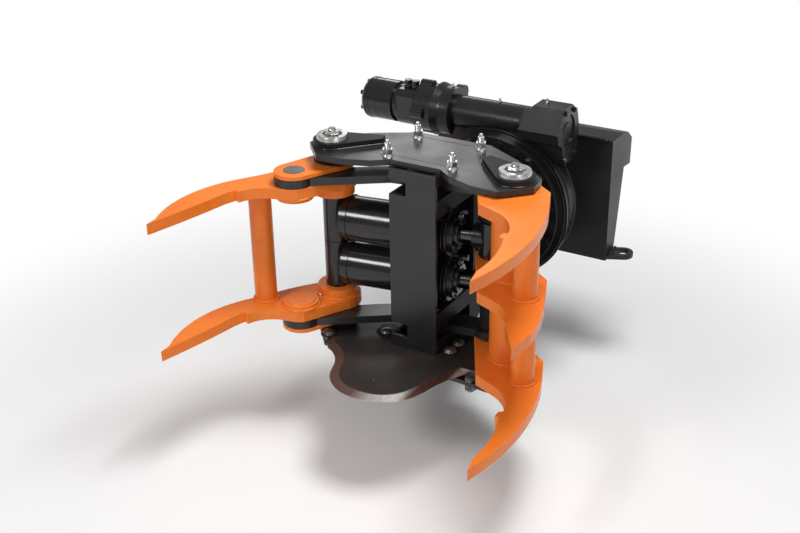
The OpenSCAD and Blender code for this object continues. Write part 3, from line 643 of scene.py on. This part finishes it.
def makeClampPlate():
    # Six-sided washer plate round the blade's left inner bolt
    c = clampLook
    bm = bmesh.new()
    addCone(bm, 6, c["radius"], c["radius"], c["thick"],
            Matrix.Translation((*c["centre"], c["z"] + c["thick"] / 2)))
    bmesh.ops.bevel(bm, geom=bm.edges[:], offset=c["edge"], segments=2, affect="EDGES", profile=0.5,
                    material=-1)
    finishPiece("blade_clamp_plate", bm, "innerSatin", "head")


capLook = {"centre": (-0.3065, -0.7106), "radius": 0.040, "rim": 0.0375, "z": 0.1465, "thick": 0.003,
           "plug": (-0.324, -0.654, 0.2238), "plugRadius": 0.0085, "plugTaper": 0.7, "plugRise": 0.0016,
           "sides": 64, "plugSides": 32}


def makeCaps():
    # Welded caps over the inner ends of the left link pins, and the plug in the upper fork
    c = capLook
    bm = bmesh.new()
    for side in (1, -1):
        addCone(bm, c["sides"], c["radius"], c["rim"], c["thick"],
                alongAxis((*c["centre"], side * c["z"]), (0, 0, -side)))
    addCone(bm, c["plugSides"], c["plugRadius"], c["plugRadius"] * c["plugTaper"], c["plugRise"],
            Matrix.Translation(c["plug"]))
    finishPiece("link_pin_caps", bm, "orangeGloss", "left_arm")


boltLook = {"places": [(-0.243, -0.680), (-0.108, -0.600), (0.089, -0.559), (0.089, -0.604)],
            "z": -0.250, "washer": 0.0215, "washerTaper": 0.97, "washerThick": 0.0030, "domeZ": -0.2392,
            "dome": 0.0122, "domeTop": 0.0065, "domeRise": 0.0030, "washerSides": 40, "domeSides": 32}


def makeBoltTrim():
    # Washers under the blade's bolts, and the bright domes on top of them
    b = boltLook
    washers, domes = bmesh.new(), bmesh.new()
    for x, y in b["places"]:
        addCone(washers, b["washerSides"], b["washer"], b["washer"] * b["washerTaper"], b["washerThick"],
                Matrix.Translation((x, y, b["z"] + b["washerThick"] / 2)))
        addCone(domes, b["domeSides"], b["dome"], b["domeTop"], b["domeRise"],
                Matrix.Translation((x, y, b["domeZ"] + b["domeRise"] / 2)))
    finishPiece("blade_washers", washers, "innerSatin", "head")
    finishPiece("bolt_domes", domes, "turnedSteel", "head", pieceLook["soft"])


cameraPlace = {"azimuth": 31.242, "elevation": 26.109, "roll": 0.919, "distance": 2.8,
               "target": (0.1153, -0.8936, 0.1288), "lens": 54.9, "sensor": 36, "clip": (0.1, 100)}


def makeCamera():
    a, e, r = (math.radians(cameraPlace[k]) for k in ("azimuth", "elevation", "roll"))
    back = Vector((math.sin(a) * math.cos(e), -math.cos(a) * math.cos(e), math.sin(e)))
    level = Vector((math.cos(a), math.sin(a), 0))
    plumb = back.cross(level)
    right = level * math.cos(r) - plumb * math.sin(r)
    up = plumb * math.cos(r) + level * math.sin(r)
    lens = bpy.data.cameras.new("camera")
    lens.lens = cameraPlace["lens"]
    lens.sensor_width = cameraPlace["sensor"]
    lens.clip_start, lens.clip_end = cameraPlace["clip"]
    camera = bpy.data.objects.new("camera", lens)
    turn = Matrix((right, up, back)).transposed().to_4x4()
    stand = Vector(cameraPlace["target"]) + back * cameraPlace["distance"]
    camera.matrix_world = Matrix.Translation(stand) @ turn
    bpy.context.collection.objects.link(camera)
    bpy.context.scene.camera = camera


floorLook = {"drop": 0.22, "size": 14.0, "colour": (0.96, 0.96, 0.96), "centre": (0.0, -0.65),
             "rough": 0.9, "fadeFrom": 0.85, "fadeTo": 1.9}


def makeFloor():
    # A pale floor that turns into the white background with distance
    f = floorLook
    bm = bmesh.new()
    bmesh.ops.create_grid(bm, x_segments=1, y_segments=1, size=f["size"])
    low = cadBox[0][2] - f["drop"]
    bmesh.ops.translate(bm, verts=bm.verts, vec=(0, 0, low))
    mesh = bpy.data.meshes.new("floor")
    bm.to_mesh(mesh)
    bm.free()
    floor = bpy.data.objects.new("floor", mesh)
    bpy.context.collection.objects.link(floor)
    p = Paint("paleFloor")
    mesh.materials.append(p.use(Base_Color=f["colour"], Roughness=f["rough"], Specular_IOR_Level=0.0))
    far = p.node("ShaderNodeVectorMath", {"operation": "DISTANCE"}, [p.place(), (*f["centre"], low)],
                 output="Value")
    seen = p.node("ShaderNodeLightPath", output="Is Camera Ray").most(
        p.node("ShaderNodeLightPath", output="Is Glossy Ray"))
    fade = far.over(f["fadeFrom"], f["fadeTo"]) * seen
    painted = Wire(p, p.nodes["Principled BSDF"].outputs[0])
    white = p.node("ShaderNodeEmission", inputs={"Color": (1, 1, 1), "Strength": 1.0})
    blend = p.node("ShaderNodeMixShader", inputs=[fade, painted, white])
    p.links.new(blend.out, p.nodes["Material Output"].inputs["Surface"])


lamps = {
    "top": {"place": (0.62, -0.42, 2.8), "size": 1.1, "power": 66},
    "key": {"place": (-0.87, -3.36, 2.00), "size": 0.7, "power": 36},
    "side": {"place": (3.0, -2.4, 1.5), "size": 1.4, "power": 16},
    "back": {"place": (-1.90, 2.64, 1.70), "size": 0.8, "power": 8},
}
lampTarget = (0, -0.6, 0)
worldLook = {"fill": 0.22, "mirrored": 0.40, "seen": 1.0, "colour": (0.8, 0.8, 0.8)}


def makeLight():
    # Area lamps, and a world that is pale grey to the camera, darker in reflections and weak as light
    for name, lamp in lamps.items():
        light = bpy.data.lights.new(name, "AREA")
        light.energy = lamp["power"]
        light.size = lamp["size"]
        obj = bpy.data.objects.new(name, light)
        place = Vector(lamp["place"])
        obj.rotation_euler = (Vector(lampTarget) - place).to_track_quat("-Z", "Y").to_euler()
        obj.location = place
        bpy.context.collection.objects.link(obj)
    sky, w = Paint("studio", "worlds"), worldLook
    fill = sky.nodes["Background"]
    sky.feed(fill.inputs["Color"], (1, 1, 1))
    sky.feed(fill.inputs["Strength"], w["fill"])
    last = Wire(sky, fill.outputs[0])
    for ray, strength in (("Is Glossy Ray", w["mirrored"]), ("Is Transmission Ray", w["seen"]),
                          ("Is Camera Ray", w["seen"])):
        isRay = sky.node("ShaderNodeLightPath", output=ray)
        pale = sky.node("ShaderNodeBackground", inputs={"Color": w["colour"], "Strength": strength})
        last = sky.node("ShaderNodeMixShader", inputs=[isRay, last, pale])
    sky.links.new(last.out, sky.nodes["World Output"].inputs["Surface"])
    bpy.context.scene.world = sky.owner
    bpy.context.scene.view_settings.view_transform = "Standard"


print("camera and light")
makeCamera()
makeLight()
makeFloor()
print("paint on the frame")
dressNodes()
softenEdges()
print("welds")
makeArmWelds()
makeHeadWelds()
makeMountWelds()
print("threads, rings and fittings")
makeThreads()
makeRings()
makeMotorTrim()
makeGlandTrim()
makeElbows()
makeClampPlate()
makeCaps()
makeBoltTrim()
print("done")
